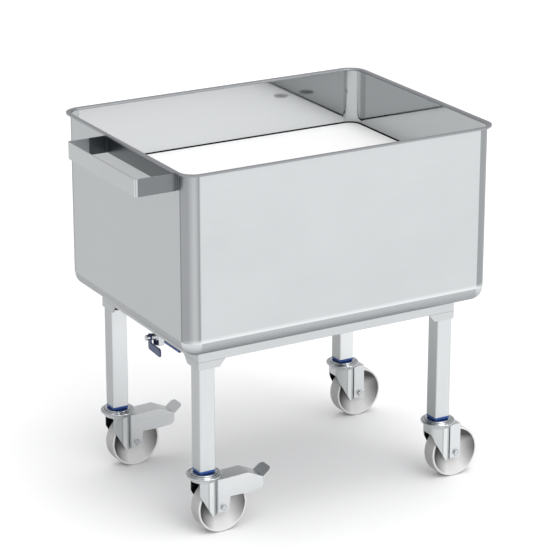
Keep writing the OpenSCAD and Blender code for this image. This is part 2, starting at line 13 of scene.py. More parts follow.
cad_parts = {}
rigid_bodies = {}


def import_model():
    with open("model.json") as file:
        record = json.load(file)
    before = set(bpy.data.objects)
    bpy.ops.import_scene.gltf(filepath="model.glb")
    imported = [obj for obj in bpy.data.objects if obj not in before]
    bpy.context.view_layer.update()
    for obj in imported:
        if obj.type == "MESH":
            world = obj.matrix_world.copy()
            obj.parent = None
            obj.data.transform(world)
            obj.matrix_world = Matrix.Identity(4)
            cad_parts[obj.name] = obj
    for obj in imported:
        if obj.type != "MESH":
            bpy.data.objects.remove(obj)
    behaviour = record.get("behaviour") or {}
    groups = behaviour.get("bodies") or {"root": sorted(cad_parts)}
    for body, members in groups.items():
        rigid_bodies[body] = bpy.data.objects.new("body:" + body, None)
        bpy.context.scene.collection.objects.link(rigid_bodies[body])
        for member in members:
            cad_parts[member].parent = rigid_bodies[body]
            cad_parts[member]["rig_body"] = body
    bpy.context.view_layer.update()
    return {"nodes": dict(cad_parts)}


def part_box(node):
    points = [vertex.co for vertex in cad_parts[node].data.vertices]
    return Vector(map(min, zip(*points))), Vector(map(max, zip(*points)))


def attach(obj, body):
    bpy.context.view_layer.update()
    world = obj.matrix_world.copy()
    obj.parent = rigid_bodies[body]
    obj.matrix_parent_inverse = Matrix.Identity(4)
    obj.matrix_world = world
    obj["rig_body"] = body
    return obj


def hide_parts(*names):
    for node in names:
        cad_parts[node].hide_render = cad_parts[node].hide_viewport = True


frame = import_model()

MM = 0.001
CORNERS = ("handle_front", "handle_rear", "far_front", "far_rear")


# Small tools
def linear(colour):
    """Turns an sRGB hex colour such as '#c8ccd0' to linear RGBA."""
    parts = [int(colour[i : i + 2], 16) / 255 for i in (1, 3, 5)]
    return [c / 12.92 if c <= 0.04045 else ((c + 0.055) / 1.055) ** 2.4 for c in parts] + [1.0]


def add(tree, kind, links=None, out=0, **settings):
    """Adds a shader node and returns one of its outputs.

    Links give an input a value, a hex colour or another node's output. A MapRange takes
    0 the value, 1 and 2 where it starts and stops, 3 and 4 what it gives there, 0 and 1
    unless they are named.
    """
    made = tree.nodes.new("ShaderNode" + kind)
    for key, value in settings.items():
        setattr(made, key, value)
    for key, value in (links or {}).items():
        if isinstance(value, bpy.types.NodeSocket):
            tree.links.new(value, made.inputs[key])
        else:
            made.inputs[key].default_value = linear(value) if isinstance(value, str) else value
    return made.outputs[out]


def box_of(node):
    """Lowest and highest corner of a CAD node's box."""
    return [Vector(corner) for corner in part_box(node)]


def middle(node):
    """Middle of a CAD node's box."""
    low, high = box_of(node)
    return (low + high) / 2


# Camera: metres and degrees, with lens and sensor in millimetres
CAMERA_PLACE = (-2.70073, -4.75627, 2.43261)
CAMERA_TURN = -30.0187
CAMERA_DOWN = 19.5186
CAMERA_ROLL = 0.0838
CAMERA_LENS = 159.62
CAMERA_SENSOR = 36
CAMERA_REACH = 60


def place_camera():
    """Looks at the handle end and the front from above, as the photograph does."""
    lens = bpy.data.cameras.new("camera")
    lens.lens = CAMERA_LENS
    lens.sensor_width = CAMERA_SENSOR
    lens.clip_end = CAMERA_REACH
    camera = bpy.data.objects.new("camera", lens)
    camera.matrix_world = (
        Matrix.Translation(CAMERA_PLACE)
        @ Matrix.Rotation(math.radians(CAMERA_TURN), 4, "Z")
        @ Matrix.Rotation(math.radians(90 - CAMERA_DOWN), 4, "X")
        @ Matrix.Rotation(math.radians(CAMERA_ROLL), 4, "Z")
    )
    bpy.context.scene.collection.objects.link(camera)
    bpy.context.scene.camera = camera


# Light: each soft sun has the way it shines, its strength and its spread in degrees
SUNS = {
    "overhead": ((0, 0, -1), 0.8, 45),
    "high_front": ((-0.23, 0.41, -0.88), 0.45, 40),
    "front": ((0, 0.83, -0.56), 0.75, 40),
    "low_front": ((-0.47, 0.81, -0.09), 0.3, 18),
}


def light_studio():
    """A plain pale world, white where the camera sees it, and four soft suns from above."""
    world = bpy.data.worlds.new("studio")
    world.use_nodes = True
    tree = world.node_tree
    seen = add(tree, "LightPath", out="Is Camera Ray")
    back = tree.nodes["Background"]
    tree.links.new(paint(tree, "#d9d9da", (seen, "#ffffff")), back.inputs["Color"])
    back.inputs["Strength"].default_value = 1.0
    bpy.context.scene.world = world
    for name, (toward, strength, spread) in SUNS.items():
        lamp = bpy.data.lights.new(name, "SUN")
        lamp.energy = strength
        lamp.angle = math.radians(spread)
        holder = bpy.data.objects.new(name, lamp)
        holder.rotation_euler = Vector(toward).to_track_quat("-Z", "Y").to_euler()
        bpy.context.scene.collection.objects.link(holder)
    bpy.context.scene.view_settings.view_transform = "Standard"


# Materials: what they share
NOISE_START, NOISE_STOP = 0.3, 0.7  # most values of one noise lie between these
PAIR_START, PAIR_STOP = 0.7, 1.3  # and of two noises together between these
CLOUD = (160, 160, 160)  # millimetres of a slow change of tone across a sheet
RELIEF = 0.2 * MM  # height of grain and skin at full strength
HALVES = MM  # a mask for one half of the trolley fades out this near to its middle
# Millimetres between grain lines. Real ones are under 0.2 mm apart, and the skin of the
# plastics is as fine: both are drawn about ten times as coarse, so that they show
GRAIN = 1.6


def surface(name, rough, metal=0.0, colour="#808080", **sockets):
    """A material with one Principled shader; returns it with its tree and shader."""
    made = bpy.data.materials.new(name)
    made.use_nodes = True
    tree = made.node_tree
    shader = tree.nodes["Principled BSDF"]
    shader.inputs["Base Color"].default_value = linear(colour)
    shader.inputs["Roughness"].default_value = rough
    shader.inputs["Metallic"].default_value = metal
    for key, value in sockets.items():
        shader.inputs[key.replace("_", " ")].default_value = value
    return made, tree, shader


def pattern(tree, sizes, detail=2.0):
    """Noise whose grains measure sizes, in millimetres along X, Y and Z."""
    place = add(tree, "TexCoord", out="Object")
    scale = [1 / (size * MM) for size in sizes]
    spread = add(tree, "Mapping", {"Vector": place, "Scale": scale}, vector_type="POINT")
    links = {"Vector": spread, "Scale": 1.0, "Detail": detail}
    return add(tree, "TexNoise", links, out="Fac")


def paint(tree, ground, *zones):
    """Lays zones of (mask, colour) over a ground colour, each on top of the ones before.

    A Mix of colours takes 0 its share, 6 and 7 its colours, and gives 2.
    """
    for mask, tone in zones:
        ground = add(tree, "Mix", {0: mask, 6: ground, 7: tone}, out=2, data_type="RGBA")
    return ground


def bands(tree, value, stops):
    """Colour that runs through stops of (value, hex colour)."""
    colour = add(tree, "ValToRGB", {0: value}, out="Color")
    marks = colour.node.color_ramp.elements
    while len(marks) < len(stops):
        marks.new(1.0)
    for mark, (place, tone) in zip(marks, stops):
        mark.position = place
        mark.color = linear(tone)
    return colour


def place_on(tree):
    """X, Y and Z of the place on the part."""
    place = add(tree, "TexCoord", out="Object")
    return add(tree, "SeparateXYZ", {0: place}).node.outputs


def facing_on(tree):
    """X, Y and Z of the way the part's surface faces."""
    facing = add(tree, "TexCoord", out="Normal")
    return add(tree, "SeparateXYZ", {0: facing}).node.outputs


def front_half(tree, place):
    """Mask of the trolley's front half."""
    return add(tree, "MapRange", {0: place["Y"], 1: -HALVES, 2: HALVES, 3: 1, 4: 0})


def fed_by(shader, socket):
    """The output that a shader's socket is linked to."""
    return shader.inputs[socket].links[0].from_socket


def repaint(tree, shader, *zones):
    """Lays zones of (mask, colour) over the shader's own colour."""
    colour = paint(tree, fed_by(shader, "Base Color"), *zones)
    tree.links.new(colour, shader.inputs["Base Color"])


def dull(tree, colour, ends, flats, under):
    """Painted shade: darkens colour by ends on faces along X, by flats on upper and by under on
    lower faces.
    """
    facing = facing_on(tree)
    square = add(tree, "Math", {0: facing["X"], 1: 2}, operation="POWER")
    across = add(tree, "Math", {0: square, 1: ends}, operation="MULTIPLY")
    above = add(tree, "MapRange", {0: facing["Z"], 1: 0.3, 2: 0.9, 3: 0, 4: flats})
    below = add(tree, "MapRange", {0: facing["Z"], 1: -0.5, 2: -0.12, 3: under, 4: 0})
    share = add(tree, "Math", {0: across, 1: above}, operation="MAXIMUM")
    share = add(tree, "Math", {0: share, 1: below}, operation="MAXIMUM")
    return paint(tree, colour, (share, "#000000"))


def steel(name, dark, light, rough, grain, relief=0.01, ends=0.26, flats=0.2, under=0.42):
    """Ground or brushed stainless sheet: grain lines change tone, gloss and relief.

    The grain runs round the trolley. Painted shade darkens faces along X by ends, upward faces by
    flats and downward faces by under.
    """
    made, tree, shader = surface(name, rough, 1.0)
    lines = pattern(tree, grain, 3.0)
    mixed = add(tree, "Math", {0: lines, 1: pattern(tree, CLOUD)}, operation="ADD")
    span = {0: mixed, 1: PAIR_START, 2: PAIR_STOP}
    colour = paint(tree, dark, (add(tree, "MapRange", span), light))
    tree.links.new(dull(tree, colour, ends, flats, under), shader.inputs["Base Color"])
    gloss = add(tree, "MapRange", {**span, 3: rough - 0.04, 4: rough + 0.04})
    tree.links.new(gloss, shader.inputs["Roughness"])
    bump = add(tree, "Bump", {"Height": lines, "Strength": relief, "Distance": RELIEF})
    tree.links.new(bump, shader.inputs["Normal"])
    return made, tree, shader


def plastic(name, dark, light, rough, grain, relief):
    """Moulded or cut plastic: a fine skin grain in millimetres mottles tone, gloss and relief."""
    made, tree, shader = surface(name, rough)
    skin = pattern(tree, (grain,) * 3, 3.0)
    mottled = paint(tree, dark, (add(tree, "MapRange", {0: skin, 1: 0.35, 2: 0.65}), light))
    tree.links.new(mottled, shader.inputs["Base Color"])
    span = {0: skin, 1: NOISE_START, 2: NOISE_STOP}
    gloss = add(tree, "MapRange", {**span, 3: rough + 0.05, 4: rough - 0.05})
    tree.links.new(gloss, shader.inputs["Roughness"])
    bump = add(tree, "Bump", {"Height": skin, "Strength": relief, "Distance": RELIEF})
    tree.links.new(bump, shader.inputs["Normal"])
    return made, tree, shader


# The tub's steel
TUB_R = 34 * MM  # outer radius of its corners and bottom bends
TUB_RIM = 10 * MM  # reach of its folded rim
TUB_SHEET = 2 * MM  # thickness of its sheet
TUB_ENDS = 0.24  # how much painted shade darkens its end walls
RIM_DEPTH = 5 * MM  # the rim's darker painted tone starts this far below its top
BEND_UP = 1.2 * MM  # the bend's painted shade starts this far above the bend
SHINE_UP = 10 * MM  # height of the painted highlight above that
SPECKLE = (2.2, 2.2, 2.2)  # millimetres of the polish's fine mottling

# Painted reflection and shade across a corner near the handle, from the long wall (0) to the end
# wall (1)
CORNER_BANDS = (
    (0.0, "#c2c5c6"), (0.04, "#bfc2c3"), (0.11, "#919497"), (0.16, "#949799"),
    (0.24, "#a1a4a5"), (0.36, "#b0b3b4"), (0.46, "#b3b6b7"), (0.56, "#adb0b1"),
    (0.66, "#a3a6a7"), (0.76, "#97999b"), (1.0, "#96989a"),
)
# Painted shade down the bottom bend, from the wall (0) to the underside (1)
BEND_BANDS = ((0.0, "#b0b3b4"), (0.7, "#9a9da0"), (1.0, "#6c6f72"))


def past_flat(tree):
    """How far a place lies past the tub's flat walls, in a corner or in the bottom bend."""
    low, high = box_of("tub")
    centre, half = (low + high) / 2, (high - low) / 2
    half -= Vector((TUB_RIM, TUB_RIM, 0))
    # Two metres tall from the bottom up, so that of top and bottom only the bottom counts
    half.z = 1
    centre.z = low.z + half.z
    half -= Vector((TUB_R,) * 3)
    place = add(tree, "TexCoord", out="Object")
    place = add(tree, "VectorMath", {0: place, 1: tuple(centre)}, operation="SUBTRACT")
    place = add(tree, "VectorMath", {0: place}, operation="ABSOLUTE")
    place = add(tree, "VectorMath", {0: place, 1: tuple(half)}, operation="SUBTRACT")
    return add(tree, "VectorMath", {0: place, 1: (0, 0, 0)}, operation="MAXIMUM")


def corner_tones(tree, over):
    """Painted reflection and shade bands round the corners near the handle, one darker painted
    tone round the far corners.
    """
    place = place_on(tree)
    turned_by = add(tree, "Math", {0: over["X"], 1: TUB_R}, operation="DIVIDE")
    near = bands(tree, turned_by, CORNER_BANDS)
    # A painted dark line of shade where the front corner runs into the end wall
    edge = add(tree, "MapRange", {0: over["Y"], 1: 4 * MM, 2: 6.5 * MM, 3: 1, 4: 0})
    outline = add(tree, "Math", {0: edge, 1: front_half(tree, place)}, operation="MULTIPLY")
    # Painted shade: one darker tone round the far corners
    far = add(tree, "MapRange", {0: place["X"], 1: -HALVES, 2: HALVES})
    return paint(tree, near, (outline, "#828588"), (far, "#949799"))


def tub_outside(tree, ground, over, corner):
    """Satin outside, with painted reflection and shade bands round the corners, a painted
    highlight above the bottom bend and painted shade down the bend.
    """
    place, facing = place_on(tree), facing_on(tree)
    bend_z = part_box("tub")[0][2] + TUB_R + BEND_UP
    bend = add(tree, "MapRange", {0: facing["Z"], 1: -0.01, 2: -0.04})
    low = add(tree, "MapRange", {0: place["Z"], 1: bend_z, 2: bend_z - 0.4 * MM})
    bend = add(tree, "Math", {0: bend, 1: low}, operation="MAXIMUM")
    long_wall = add(tree, "Math", {0: facing["Y"], 1: 2}, operation="POWER")
    shine = add(tree, "MapRange", {0: place["Z"], 1: bend_z + SHINE_UP, 2: bend_z})
    shine = add(tree, "Math", {0: shine, 1: long_wall}, operation="MULTIPLY")
    # Painted shade down the bend, darkest on the underside
    depth = add(tree, "MapRange", {0: facing["Z"], 1: -0.04, 2: -0.95})
    below = dull(tree, bands(tree, depth, BEND_BANDS), TUB_ENDS, 0, 0)
    # Painted light and shade on the bottom corners, which are round both ways: pale, then darker
    # down the bend
    ball = paint(tree, "#cccfd0", (depth, "#85888b"))
    below = paint(tree, below, (corner, ball))
    tones = corner_tones(tree, over)
    return paint(tree, ground, (corner, tones), (shine, "#e0e2e3"), (bend, below))


def tub_inside(tree, speckle, over, corner):
    """Polished inside, with painted shade on the end walls and corners, and a near-black painted
    shadow on the wall under the loose board and just above it.
    """
    place = place_on(tree)
    cloudy = add(tree, "MapRange", {0: speckle, 1: NOISE_START, 2: NOISE_STOP})
    bright = paint(tree, "#ced0d1", (cloudy, "#d7d9da"))
    end_wall = add(tree, "MapRange", {0: over["X"], 1: TUB_R - 6 * MM, 2: TUB_R - 3 * MM})
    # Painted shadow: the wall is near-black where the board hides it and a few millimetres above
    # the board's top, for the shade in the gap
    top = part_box("false_floor")[1][2]
    sump = add(tree, "MapRange", {0: place["Z"], 1: top + 2.6 * MM, 2: top + 3.4 * MM, 3: 1, 4: 0})
    return paint(tree, bright, (end_wall, "#adb0b1"), (corner, "#b9bcbd"), (sump, "#222426"))


def tub_steel():
    """Drawn stainless sheet, satin outside and polished inside, where it mirrors the floor."""
    made, tree, shader = steel(
        "satin_and_polished_stainless", "#c0c3c4", "#c5c8c9", 0.4, (220, 220, GRAIN),
        ends=TUB_ENDS, flats=0, under=0,
    )
    past = past_flat(tree)
    over = add(tree, "SeparateXYZ", {0: past}).node.outputs
    least = add(tree, "Math", {0: over["X"], 1: over["Y"]}, operation="MINIMUM")
    corner = add(tree, "MapRange", {0: least, 1: 0, 2: 0.3 * MM})
    away = add(tree, "VectorMath", {0: past}, out="Value", operation="LENGTH")
    inside = add(tree, "Math", {0: away, 1: TUB_R - TUB_SHEET / 2}, operation="LESS_THAN")
    # Painted shade: the rim's top band gets a darker grey tone
    rim_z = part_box("tub")[1][2] - RIM_DEPTH
    rim = add(tree, "MapRange", {0: place_on(tree)["Z"], 1: rim_z, 2: rim_z + 0.4 * MM})
    speckle = pattern(tree, SPECKLE)
    colour = tub_outside(tree, fed_by(shader, "Base Color"), over, corner)
    colour = paint(
        tree, colour, (inside, tub_inside(tree, speckle, over, corner)), (rim, "#97999c")
    )
    tree.links.new(colour, shader.inputs["Base Color"])
    span = {0: speckle, 1: NOISE_START, 2: NOISE_STOP}
    polish = add(tree, "MapRange", {**span, 3: 0.02, 4: 0.09})
    rough = fed_by(shader, "Roughness")
    for mask, other in ((inside, polish), (rim, 0.45)):
        rough = add(tree, "Mix", {0: mask, 2: rough, 3: other}, data_type="FLOAT")
    tree.links.new(rough, shader.inputs["Roughness"])
    return made


# The wheels' nylon: how much painted shade a face gets for the way it points
GRIME = (("Z", -1.4), ("X", 1.0), ("X", -0.75))
WASHED = 0.3  # and how much of that painted shade is taken off where it points up


def wheel_nylon():
    """Cast nylon, with painted shade in the dish where its wall faces down or sideways."""
    made, tree, shader = plastic("cast_nylon", "#e0e0df", "#ededec", 0.5, 1.2, 0.05)
    facing = facing_on(tree)
    caught = 0.0
    for axis, share in GRIME:
        kept = add(tree, "Math", {0: facing[axis], 1: share}, operation="MULTIPLY")
        caught = add(tree, "Math", {0: caught, 1: kept}, operation="MAXIMUM")
    upward = add(tree, "Math", {0: facing["Z"], 1: 0}, operation="MAXIMUM")
    washed = add(tree, "Math", {0: upward, 1: WASHED}, operation="MULTIPLY")
    caught = add(tree, "Math", {0: caught, 1: washed}, operation="SUBTRACT")
    grime = add(tree, "MapRange", {0: caught, 1: 0.04, 2: 0.44, 3: 0, 4: 0.92})
    repaint(tree, shader, (grime, "#1b1b1c"))
    return made


def fork_steel():
    """Pressed zinc-bright sheet, with painted shade on the cheeks, the crease and the fold beside
    the bright beads, and a near-black painted shadow on the inner walls.
    """
    made, tree, shader = steel("pressed_caster_steel", "#d8dbdc", "#dfe2e2", 0.34, (4, 4, 4))
    place, facing = place_on(tree), facing_on(tree)
    first, last = middle("race_handle_front"), middle("race_far_front")
    half = (last.x - first.x) / 2
    # Along X from the nearest pair of swivels
    along = add(tree, "Math", {0: place["X"], 1: first.x}, operation="SUBTRACT")
    along = add(tree, "Math", {0: along, 1: half, 2: -half}, operation="WRAP")
    cheek = add(tree, "MapRange", {0: along, 1: -0.8 * MM, 2: 0, 3: 1, 4: 0})
    crease = add(tree, "MapRange", {0: along, 1: -4 * MM, 2: -2 * MM})
    crease = add(tree, "Math", {0: crease, 1: cheek}, operation="MULTIPLY")
    fold = add(tree, "MapRange", {0: along, 1: 9.5 * MM, 2: 11.5 * MM})
    behind = add(tree, "MapRange", {0: along, 1: 22 * MM, 2: 23 * MM, 3: 1, 4: 0})
    fold = add(tree, "Math", {0: fold, 1: behind}, operation="MULTIPLY")
    # An inner wall faces the wheel's middle and gets a near-black painted shadow
    half_of = add(tree, "Math", {0: place["Y"]}, operation="SIGN")
    side = add(tree, "Math", {0: facing["Y"], 1: half_of}, operation="MULTIPLY")
    away = add(tree, "Math", {0: place["Y"]}, operation="ABSOLUTE")
    away = add(tree, "Math", {0: away, 1: abs(first.y)}, operation="SUBTRACT")
    away = add(tree, "Math", {0: side, 1: away}, operation="MULTIPLY")
    inner = add(tree, "MapRange", {0: away, 1: -10 * MM, 2: -5 * MM, 3: 1, 4: 0})
    # Painted shade on cheek, crease and fold, painted shadow on the inner walls
    zones = ((cheek, "#c2c5c6"), (crease, "#aaadae"), (fold, "#b4b7b9"), (inner, "#2e2f31"))
    repaint(tree, shader, *zones)
    return made


def handle_steel():
    """Brushed strip, with painted shade on the arms, the inner faces, the roots of the arms and
    the back strip, and a painted highlight on the bends.
    """
    made, tree, shader = steel(
        "hand_polished_strip", "#c0c3c4", "#c6c9ca", 0.3, (GRAIN, 160, 160)
    )
    low, high = box_of("handle")
    centre, half = (low + high) / 2, (high - low) / 2
    place, facing = place_on(tree), facing_on(tree)
    arm = add(tree, "MapRange", {0: place["X"], 1: low.x + 3 * MM, 2: low.x + 7 * MM})
    inside = 1.0
    for axis, number in (("X", 0), ("Y", 1)):
        reach = add(tree, "Math", {0: place[axis], 1: centre[number]}, operation="SUBTRACT")
        reach = add(tree, "Math", {0: reach}, operation="ABSOLUTE")
        limit = half[number] - 1.5 * MM
        within = add(tree, "Math", {0: reach, 1: limit}, operation="LESS_THAN")
        inside = add(tree, "Math", {0: within, 1: inside}, operation="MULTIPLY")
    # Painted shade on the back strip against the tub, and on the inner faces of the half nearer to
    # it
    back = add(tree, "Math", {0: place["X"], 1: high.x - 4 * MM}, operation="GREATER_THAN")
    back = add(tree, "Math", {0: inside, 1: back}, operation="MULTIPLY")
    root = add(tree, "MapRange", {0: place["X"], 1: low.x + 52 * MM, 2: low.x + 54 * MM})
    root = add(tree, "Math", {0: root, 1: inside}, operation="MULTIPLY")
    # A bend faces along X and Y at once and gets a painted highlight
    both = add(tree, "Math", {0: facing["X"], 1: facing["Y"]}, operation="MULTIPLY")
    both = add(tree, "Math", {0: both}, operation="ABSOLUTE")
    bend = add(tree, "MapRange", {0: both, 1: 0.15, 2: 0.35})
    # Painted shade on the arms and inner faces, painted highlight on the bends
    repaint(
        tree, shader, (arm, "#767a7c"), (bend, "#c6c9ca"), (inside, "#aeb1b3"),
        (root, "#585c5f"), (back, "#4a4e50"),
    )
    return made


def lever_steel():
    """Sheared plate with rolling lines; the foot tab on the front side gets painted shade."""
    made, tree, shader = steel(
        "sheared_lever_steel", "#d1d4d5", "#dadcdd", 0.4, (90, 1.8, 1.8), flats=0.06
    )
    place, facing = place_on(tree), facing_on(tree)
    tab = add(tree, "MapRange", {0: facing["X"], 1: -0.45, 2: -0.55})
    upper = add(tree, "MapRange", {0: facing["Z"], 1: 0.5, 2: 0.6})
    for mask in (front_half(tree, place), upper):
        tab = add(tree, "Math", {0: tab, 1: mask}, operation="MULTIPLY")
    repaint(tree, shader, (tab, "#adb0b2"))
    return made


MATERIALS = {}


def sheet_metals():
    """The trolley's flat and folded metal, satin so that it shows broad even tones."""
    # Tub and handle have finishes of their own, made above
    MATERIALS["tub"] = tub_steel()
    MATERIALS["handle"] = handle_steel()
    # Folded rails and plates: grain along their length breaks up the long flat fronts
    MATERIALS["rail"] = steel(
        "folded_satin_sheet", "#c1c4c5", "#c7cacb", 0.42, (180, 180, GRAIN)
    )[0]
    # Square leg tube: upright draw lines, and painted shade that leaves the fronts paler than the
    # sides
    upright = (GRAIN, GRAIN, 260)
    MATERIALS["tube"] = steel(
        "drawn_square_tube", "#cbcecf", "#d1d4d5", 0.42, upright, ends=0.3
    )[0]
    # Painted light: the rear legs' tube is a paler copy of the leg tube, which cancels the shade
    # under the tub, with more painted shade on its sides
    MATERIALS["rear_tube"] = steel(
        "paler_rear_square_tube", "#e1e4e5", "#e7e9ea", 0.42, upright, ends=0.5
    )[0]
    # Brake levers, shoes and saddles: pale plate, with painted shade on the front foot tabs
    MATERIALS["lever"] = lever_steel()


def small_metals():
    """Caster, valve and weld metal, glossier or darker than the sheet."""
    # Forks: zinc-bright pressings, with painted shade on the cheeks beside the bright beads and
    # painted shadow on the inner walls
    MATERIALS["pressed"] = fork_steel()
    # Rings, axles, bushes, ball and stem: turned bright, so they carry sharp glints
    MATERIALS["polished"] = steel(
        "turned_polished_steel", "#c4c7c9", "#cfd2d4", 0.1, (3, 3, 3)
    )[0]
    # Valve body, gland and pipe: fine lathe lines and a half gloss
    MATERIALS["valve"] = steel(
        "machined_valve_steel", "#c0c3c5", "#ccd0d2", 0.2, (3, 3, 1.2)
    )[0]
    # Weld beads: darker, uneven metal that marks where pieces were joined
    MATERIALS["weld"] = steel(
        "weld_bead_steel", "#7c7f81", "#94989a", 0.35, (1.2, 1.2, 1.2), relief=0.05
    )[0]


def plastics():
    """Wheels, board, plugs, grip, pads and seals: no metal gloss, fine skin grain."""
    # Wheel bodies: pale casting with painted shade in the dish
    MATERIALS["nylon"] = wheel_nylon()
    # Ring beside the tread: the same nylon rubbed clean, a bright line round the wheel
    MATERIALS["wheel_ring"] = plastic(
        "rubbed_nylon_ring", "#ededec", "#f6f6f5", 0.4, 1.2, 0.03
    )[0]
    # Treads: the same nylon scuffed grey by the floor
    MATERIALS["tread"] = plastic(
        "scuffed_nylon_tread", "#c6c6c5", "#dbdbda", 0.6, 1.6, 0.1
    )[0]
    # Loose false floor: white cutting-board plastic, the brightest surface
    MATERIALS["board"] = plastic(
        "white_polyethylene_board", "#f3f3f2", "#fafaf9", 0.55, 1.5, 0.03
    )[0]
    # Leg plugs and guard strip: deep blue mouldings, the colour accent
    MATERIALS["plug"] = plastic(
        "moulded_blue_polyamide", "#1d4790", "#2652a0", 0.4, 1.2, 0.04
    )[0]
    # Valve lever sleeve: dipped vinyl, greyer blue with a soft shine
    MATERIALS["grip"] = plastic(
        "dipped_blue_vinyl", "#2f4270", "#3b4f7e", 0.34, 6.0, 0.06
    )[0]
    # Pads between frame and tub: black foamed rubber, a dark shadow line
    MATERIALS["pad"] = plastic("cell_rubber", "#262729", "#37383a", 0.85, 1.0, 0.3)[0]
    # Valve seats: ivory seal rings, seen only in the open bore
    MATERIALS["seal"] = plastic("turned_ptfe", "#e6e5e0", "#f0efea", 0.5, 0.8, 0.03)[0]


# The material of each CAD node, by the start of its name: the longest that fits counts
FINISH = {
    "tub": "tub", "false_floor": "board", "ledge": "rail", "handle": "handle",
    "rail": "rail", "tub_pads": "pad", "gusset": "rail", "leg": "tube", "plug": "plug",
    "leg_handle_rear": "rear_tube", "leg_far_rear": "rear_tube",
    "race": "polished", "fork": "pressed", "wheel": "nylon", "bush": "polished",
    "axle": "polished", "saddle": "lever", "brake_lever": "lever", "brake_shoe": "lever",
    "drain_pipe": "valve", "valve_body": "valve", "valve_seats": "seal",
    "valve_gland": "valve", "valve_ball": "polished", "valve_stem": "polished",
    "valve_lever": "grip", "guard_strip": "plug",
}


def entry_for(node, table):
    """The table's longest key that the node's name starts with, or nothing."""
    return max((key for key in table if node.startswith(key)), key=len, default=None)


def finish_of(node):
    """The material of a CAD node."""
    return MATERIALS[FINISH[entry_for(node, FINISH)]]


def dress():
    """Gives every CAD node its material."""
    for name, node in frame["nodes"].items():
        for place in node.material_slots:
            place.material = finish_of(name)


# Floor
FLOOR_R = 24  # metres; past it the world is as white
FLOOR_WHITE = "#fdfdfd"
FLOOR_LIFT = 0.01  # glow of the floor that is seen, which makes its white full


def lay_floor():
    """White where it is seen or mirrored, grey for the light that it throws on the trolley."""
    sheet = bmesh.new()
    bmesh.ops.create_circle(sheet, cap_ends=True, segments=96, radius=FLOOR_R)
    mesh = bpy.data.meshes.new("studio_floor")
    sheet.to_mesh(mesh)
    sheet.free()
    floor = bpy.data.objects.new("studio_floor", mesh)
    bpy.context.scene.collection.objects.link(floor)
    made, tree, shader = surface(
        "matt_white_floor", 0.9, 0.0, FLOOR_WHITE, Specular_IOR_Level=0.0
    )
    ray = add(tree, "LightPath").node.outputs
    seen = ray["Is Camera Ray"]
    for kind in ("Is Glossy Ray", "Is Transmission Ray"):
        seen = add(tree, "Math", {0: seen, 1: ray[kind]}, operation="MAXIMUM")
    tree.links.new(paint(tree, "#a4a4a4", (seen, FLOOR_WHITE)), shader.inputs["Base Color"])
    lift = add(tree, "Math", {0: seen, 1: FLOOR_LIFT}, operation="MULTIPLY")
    shader.inputs["Emission Color"].default_value = linear("#ffffff")
    tree.links.new(lift, shader.inputs["Emission Strength"])
    floor.data.materials.append(made)


# Pieces: what they share
MERGE = 0.001 * MM  # points closer than this are one
CRISP = 40  # degrees from which an edge of a new piece stays crisp


def hang(name, work, node, finish, replaced=()):
    """Makes the bmesh a smooth piece with crisp edges and finish as its material, on node's body.
    """
    mesh = bpy.data.meshes.new(name)
    work.to_mesh(mesh)
    work.free()
    mesh.shade_smooth()
    mesh.set_sharp_from_angle(angle=math.radians(CRISP))
    mesh.materials.append(finish)
    piece = bpy.data.objects.new(name, mesh)
    bpy.context.scene.collection.objects.link(piece)
    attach(piece, frame["nodes"][node]["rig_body"])
    if replaced:
        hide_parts(*replaced)
    return piece


def turned(profile, centre, axis, steps, closed=False):
    """Spins a profile of (radius, height) millimetres about axis through centre."""
    work = bmesh.new()
    # Square to both axes in use, Y and Z
    across = Vector((1, 0, 0))
    points = [work.verts.new(centre + (across * r + axis * h) * MM) for r, h in profile]
    edges = [work.edges.new(pair) for pair in zip(points, points[1:])]
    if closed:
        edges.append(work.edges.new((points[-1], points[0])))
    bmesh.ops.spin(
        work, geom=points + edges, cent=centre, axis=axis, angle=math.tau, steps=steps,
        use_merge=True, use_normal_flip=False, use_duplicate=False,
    )
    bmesh.ops.remove_doubles(work, verts=work.verts, dist=MERGE)
    bmesh.ops.recalc_face_normals(work, faces=work.faces)
    return work


def arc(r, h, radius, start, stop, steps=6):
    """Points on an arc of a profile, angles in degrees from the radius direction."""
    turns = [math.radians(start + (stop - start) * i / steps) for i in range(steps + 1)]
    return [(r + radius * math.cos(t), h + radius * math.sin(t)) for t in turns]


# Eased edges: the rounding in millimetres, by the start of a node's name
EASED = {
    "handle": 0.5, "rail": 0.6, "gusset": 0.5, "leg": 0.4, "plug": 0.4, "fork": 0.9,
    "saddle": 0.5, "brake_lever": 0.5, "brake_shoe": 0.4, "valve_body": 0.6, "valve_lever": 1.2,
    "axle": 0.35, "valve_gland": 0.25, "valve_stem": 0.4, "false_floor": 1.0, "guard_strip": 0.5,
    "ledge": 0.5,
}
EASED_FROM = 30  # degrees from which an edge is rounded
CAD_MERGE = 0.004 * MM  # points of a CAD mesh closer than this are one
CAD_FLAT = 0.4  # degrees up to which its triangles make one face


def whole_faces(node):
    """A merged copy of a CAD node with its loose triangles joined into whole faces."""
    work = bmesh.new()
    work.from_mesh(frame["nodes"][node].data)
    bmesh.ops.remove_doubles(work, verts=work.verts, dist=CAD_MERGE)
    flat = math.radians(CAD_FLAT)
    bmesh.ops.dissolve_limit(work, angle_limit=flat, verts=work.verts, edges=work.edges)
    return work


def ease(node, width):
    """Shows a copy of a CAD node instead, with its sharp edges rounded by width millimetres."""
    work = whole_faces(node)
    least = math.radians(EASED_FROM)
    edges = [e for e in work.edges if e.is_manifold and e.calc_face_angle(0) > least]
    bmesh.ops.bevel(
        work, geom=edges, offset=width * MM, offset_type="OFFSET", segments=2, profile=0.5,
        affect="EDGES", material=-1, clamp_overlap=True,
    )
    piece = hang(node + "_eased", work, node, finish_of(node), [node])
    piece.modifiers.new("flat faces", "WEIGHTED_NORMAL").keep_sharp = True


